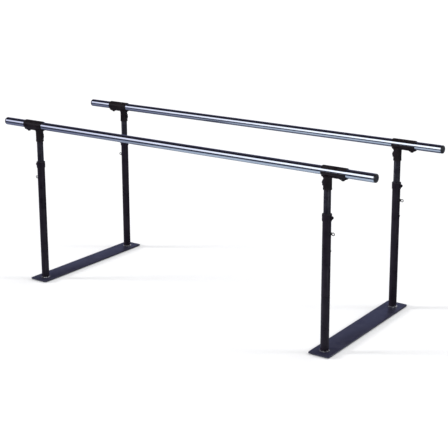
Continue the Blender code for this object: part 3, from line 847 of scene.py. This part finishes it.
def makeInnerTubes():
    low, high = localBox("inner_tube")
    radius = high.x
    bore, groove = radius - inner["wall"], radius - inner["grooveDepth"]
    half = inner["grooveHeight"] / 2
    steps = [(radius - inner["edge"], low.z), (radius, low.z + inner["edge"])]
    steps += [(radius, stemScrewHeight - half), (groove, stemScrewHeight - half + 0.0003)]
    steps += [(groove, stemScrewHeight + half - 0.0003), (radius, stemScrewHeight + half)]
    steps += [(radius, high.z - inner["edge"]), (radius - inner["edge"], high.z),
              (bore, high.z), (bore, low.z)]
    tube = turned("innerTube", steps, hollow=True)
    for row in range(-inner["below"], inner["above"] + 1):
        height = pinHeight + row * inner["pitch"]
        drill(tube, inner["hole"], (bore * 0.7, 0, height), (radius * 1.3, 0, height))
    fitCorners(smooth(tube), "InnerTube", "{corner}_leg",
               finishes["innerTubeBlack"], "inner_tube")


foot = {"plug": 0.0134750, "flange": 0.01705, "flangeHeight": 0.01, "bore": 0.006}


def makeFootPlugs():
    low, high = localBox("inner_guide")
    seat = low.z + foot["flangeHeight"]
    flange, plugRadius = foot["flange"], foot["plug"]
    steps = [(foot["bore"], low.z), (flange - 0.0008, low.z), (flange, low.z + 0.0008),
             (flange, seat - 0.0004)]
    steps += [(flange - 0.0004, seat), (plugRadius, seat), (plugRadius, high.z - 0.002)]
    steps += [(plugRadius - 0.001, high.z), (foot["bore"], high.z)]
    piece = smooth(turned("footPlug", steps, 64, hollow=True))
    fitCorners(piece, "FootPlug", "{corner}_leg", finishes["bushNylon"], "inner_guide")


makeInnerTubes()
makeFootPlugs()
print("inner tubes done")


# Brackets: cast in one piece, so the rough shapes are melted together and then bored

bracket = {
    "saddle": 0.02295, "bore": 0.01935, "floorWidth": 0.026, "slotLow": 0.001, "slotHigh": 0.0125,
    "floor": 0.0062, "stem": 0.019, "stemRim": 0.0197, "rimHeight": 0.006,
    "stemBore": 0.016275, "roof": 0.0012,
    "bossLength": 0.03, "bossWidth": 0.022, "bossDepth": 0.0035, "bossInset": 0.004,
    "gussetWidth": 0.008, "gussetHeight": 0.014,
    "padFace": 0.0232, "padWidth": 0.015, "padHeight": 0.025, "screwHole": 0.003,
    "boltHole": 0.0045, "voxel": 0.00095, "melt": 5,
}


def makeBrackets():
    low, high = localBox("bracket")
    axis = middleOf("right_rail").z
    floor = axis - bracket["bore"] - bracket["floor"]
    boltPlace = middleOf(f"{sample}_rail_bolt").x - samplePost.x
    near, far = low.x, high.x
    pieces = []
    saddle = along(turned("saddle", rounded(bracket["saddle"], near, far, 0.0012)), (0, 0, axis))
    pieces.append(saddle)
    half = bracket["floorWidth"] / 2

    def lengthwise(middle, way):
        return abs(way.x) > 0.9 * way.length and middle.z < axis - 0.01
    pieces.append(block("floor", (near, -half, floor), (far, half, axis - 0.01), 0.004, 4, lengthwise))
    stem, rim = bracket["stem"], bracket["stemRim"]
    steps = [(rim - 0.0008, low.z), (rim, low.z + 0.0008), (rim, low.z + bracket["rimHeight"])]
    steps += [(stem, low.z + bracket["rimHeight"] + 0.003), (stem, floor - 0.006), (stem + 0.002, floor)]
    steps += [(stem + 0.002, floor + 0.003)]
    pieces.append(turned("stem", steps))
    boss = block(
        "boss",
        (far - bracket["bossInset"] - bracket["bossLength"],
         -bracket["bossWidth"] / 2, floor - bracket["bossDepth"]),
        (far - bracket["bossInset"], bracket["bossWidth"] / 2, floor + 0.004),
    )
    edit(boss)  # the lump draws in towards its lower face
    pick("FACE", lambda middle, normal: normal.z < -0.9)
    bpy.ops.transform.resize(value=(0.82, 0.86, 1), center_override=(boltPlace, 0, floor))
    pick("EDGE", lambda middle, way: True)
    bpy.ops.mesh.bevel(offset=0.003, segments=4, affect="EDGES")
    selectNothing()
    pieces.append(boss)
    width = bracket["gussetWidth"] / 2
    gusset = block("gusset", (near, -width, floor - bracket["gussetHeight"]),
                   (-stem * 0.8, width, floor + 0.002))
    edit(gusset)  # its lower inboard edge is lifted to make the slope
    pick("VERT", lambda place, normal: place.x < near + 0.001 and place.z < floor - 0.001)
    bpy.ops.transform.translate(value=(0, 0, bracket["gussetHeight"] - 0.001))
    selectNothing()
    pieces.append(gusset)
    height = bracket["padHeight"] / 2
    lug = block(
        "screwPad",
        (-bracket["padFace"], -bracket["padWidth"] / 2, stemScrewHeight - height),
        (-stem * 0.7, bracket["padWidth"] / 2, stemScrewHeight + height),
        0.002,
        3,
        lambda middle, way: middle.x < -stem,
    )
    pieces.append(lug)
    selectNothing()
    for piece in pieces:
        piece.select_set(True)
    bpy.context.view_layer.objects.active = saddle
    bpy.ops.object.join()
    modify(saddle, "REMESH", mode="VOXEL", voxel_size=bracket["voxel"], adaptivity=0.0)
    modify(saddle, "SMOOTH", factor=0.5, iterations=bracket["melt"])
    past = 0.03
    bore = turned("railBore", [(bracket["bore"], near - past), (bracket["bore"], far + past)])
    combine(saddle, along(bore, (0, 0, axis)), "DIFFERENCE")
    slot = block(
        "slot",
        (near - past, -0.05, axis - bracket["slotLow"]),
        (far + past, 0, axis + bracket["slotHigh"]),
    )
    combine(saddle, slot, "DIFFERENCE")
    drill(saddle, bracket["stemBore"], (0, 0, low.z - past), (0, 0, floor - bracket["roof"]), 96)
    drill(saddle, bracket["screwHole"], (-0.05, 0, stemScrewHeight), (-0.008, 0, stemScrewHeight))
    drill(saddle, bracket["boltHole"], (boltPlace, 0, floor - past), (boltPlace, 0, axis))
    smooth(saddle, 50)
    fitCorners(saddle, "Bracket", "{side}_handrail", finishes["bracketBlack"], "bracket")


bolt = {"hex": 0.0075, "head": 0.004, "shank": 0.004}
stemScrew = {"head": 0.005, "height": 0.003, "shank": 0.0025}


def makeRailBolts():
    low, high = localBox("rail_bolt")
    seat = low.z + bolt["head"]
    head = hexagon("railBolt", bolt["hex"], low.z, seat, 0.0007)
    shank = bolt["shank"]
    steps = [(shank, low.z + 0.002), (shank, high.z - 0.0006), (shank - 0.0006, high.z)]
    combine(head, turned("shank", steps, 48), "UNION")
    place = middleOf(f"{sample}_rail_bolt").x - samplePost.x
    settle(head, place=(place, 0, 0))
    fitCorners(smooth(head), "RailBolt", "{side}_handrail",
               finishes["blackOxide"], "rail_bolt")


def makeStemScrews():
    low, high = localBox("stem_screw")
    seat = low.x + stemScrew["height"]
    screw = socketScrew("stemScrew", stemScrew["head"], stemScrew["height"],
                        stemScrew["shank"], high.x - seat)
    along(screw, (seat, 0, stemScrewHeight), -1)
    fitCorners(smooth(screw), "StemScrew", "{side}_handrail",
               finishes["blackOxide"], "stem_screw")


makeBrackets()
makeRailBolts()
makeStemScrews()
print("brackets done")


# Studio

studio = {"floorSize": 60.0, "floorTone": (0.86, 0.86, 0.865, 1), "background": (1.0, 1.0, 1.0, 1)}
# What bright metal sees of the floor: a painted pool of light in front and below, with painted shade beyond
# it and behind it
paintedPool = {
    "front": (-1.75, -1.1), "back": (-0.3, 0.3), "end": (-1.7, -0.3),
    "beyond": (0.025, 0.033, 0.06, 1), "near": (0.48, 0.55, 0.63, 1), "far": (0.17, 0.18, 0.26, 1),
    "behind": (0.1, 0.11, 0.15, 1),
}
# The soft screens that bright pieces mirror, with the room round them: angles up from the front
# horizon, in degrees, so that the back horizon is at 180
screen = {
    "foot": (4.0, 8.0), "head": (44.0, 54.0), "nearX": -0.42, "farX": -0.76,
    "near": (1.7, 1.75, 1.8, 1), "far": (0.95, 0.95, 1.15, 1),
    "above": (0.008, 0.007, 0.013, 1), "over": (70.0, 120.0), "roof": (0.05, 0.048, 0.07, 1),
    "down": (140.0, 165.0), "wall": (0.2, 0.22, 0.38, 1), "diffuse": (0.58, 0.58, 0.585, 1),
    "backFoot": (126.0, 136.0), "backHead": (170.0, 176.0), "backX": (-0.2, 0.1),
    "back": (1.2, 1.22, 1.26, 1),
}
suns = {
    "overhead": {"from": (0.24, 0.3, 0.92), "power": 1.05, "softness": 40.0},
    "lowLeft": {"from": (-0.80, -0.55, 0.21), "power": 3.6, "softness": 12.0},
    "lowRight": {"from": (0.78, 0.5, 0.3), "power": 1.0, "softness": 14.0},
}
lens = {
    "place": (2.9796, -4.0519, 1.8623), "swing": 34.681, "dip": 12.813, "length": 85.28,
    "shift": (-0.0386, -0.16),
}


def makeFloor():
    selectNothing()
    bpy.ops.mesh.primitive_plane_add(size=studio["floorSize"], location=(0, 0, -0.0005))
    floor = bpy.context.object
    floor.name = "studioFloor"
    material, tree, shader, place = newMaterial("studioFloor")
    spot = put(tree, "SeparateXYZ", {0: place}).outputs
    # a painted pool of light: brightest where X is above -0.3 and dimmer towards -X, with painted shade
    # behind (Y above 0.3) and painted dark beyond the pool's front edge
    along = ramp(tree, spot["X"], *paintedPool["end"])
    lit = mixColours(tree, along, paintedPool["far"], paintedPool["near"])
    lit = mixColours(tree, ramp(tree, spot["Y"], *paintedPool["back"]), lit, paintedPool["behind"])
    paintedPoolColour = mixColours(tree, ramp(tree, spot["Y"], *paintedPool["front"]), paintedPool["beyond"], lit)
    # glossy rays see the painted pool of light and shade; the camera and diffuse rays see the even floor tone
    path = put(tree, "LightPath").outputs["Is Glossy Ray"]
    plug(tree, mixColours(tree, path, studio["floorTone"], paintedPoolColour), shader.inputs["Base Color"])
    shader.inputs["Roughness"].default_value = 0.9
    shader.inputs["Specular IOR Level"].default_value = 0.1
    floor.data.materials.append(material)


def makeWorld():
    # the camera sees plain white; the pieces mirror a dim room with a soft screen in front and one behind
    world = bpy.data.worlds.new("studio")
    bpy.context.scene.world = world
    world.use_nodes = True
    tree = world.node_tree
    backdrop = tree.nodes["Background"]
    path = put(tree, "LightPath").outputs
    way = put(tree, "SeparateXYZ", {0: put(tree, "TexCoord").outputs["Generated"]}).outputs
    front = maths(tree, "MULTIPLY", way["Y"], -1.0)
    up = maths(tree, "DEGREES", maths(tree, "ARCTAN2", way["Z"], front))
    room = mixColours(tree, ramp(tree, up, *screen["over"]), screen["above"], screen["roof"])
    room = mixColours(tree, ramp(tree, up, *screen["down"]), room, screen["wall"])
    started = ramp(tree, up, *screen["foot"])
    ended = ramp(tree, up, *screen["head"], 1.0, 0.0)
    lit = maths(tree, "MULTIPLY", started, ended)
    along = ramp(tree, way["X"], screen["farX"], screen["nearX"])
    room = mixColours(tree, lit, room, mixColours(tree, along, screen["far"], screen["near"]))
    behind = maths(tree, "MULTIPLY", ramp(tree, up, *screen["backFoot"]),
                   ramp(tree, up, *screen["backHead"], 1.0, 0.0))
    behind = maths(tree, "MULTIPLY", behind, ramp(tree, way["X"], *screen["backX"]))
    room = mixColours(tree, behind, room, screen["back"])
    soft = mixColours(tree, path["Is Diffuse Ray"], room, screen["diffuse"])
    seen = mixColours(tree, path["Is Camera Ray"], soft, studio["background"])
    plug(tree, seen, backdrop.inputs["Color"])


def makeLights():
    for name, look in suns.items():
        sun = bpy.data.lights.new(name, "SUN")
        sun.energy = look["power"]
        sun.angle = math.radians(look["softness"])
        holder = bpy.data.objects.new(name, sun)
        holder.rotation_euler = Vector(look["from"]).to_track_quat("Z", "Y").to_euler()
        holder.visible_glossy = False
        bpy.context.scene.collection.objects.link(holder)


def makeCamera():
    camera = bpy.data.cameras.new("camera")
    camera.lens = lens["length"]
    camera.sensor_width = 36.0
    camera.shift_x, camera.shift_y = lens["shift"]
    camera.clip_end = 200.0
    holder = bpy.data.objects.new("camera", camera)
    holder.location = lens["place"]
    holder.rotation_euler = (math.radians(90 - lens["dip"]), 0, math.radians(lens["swing"]))
    bpy.context.scene.collection.objects.link(holder)
    bpy.context.scene.camera = holder


makeFloor()
makeWorld()
makeLights()
makeCamera()
bpy.context.scene.view_settings.view_transform = "Standard"
print("studio done; pieces:", len(madePieces))
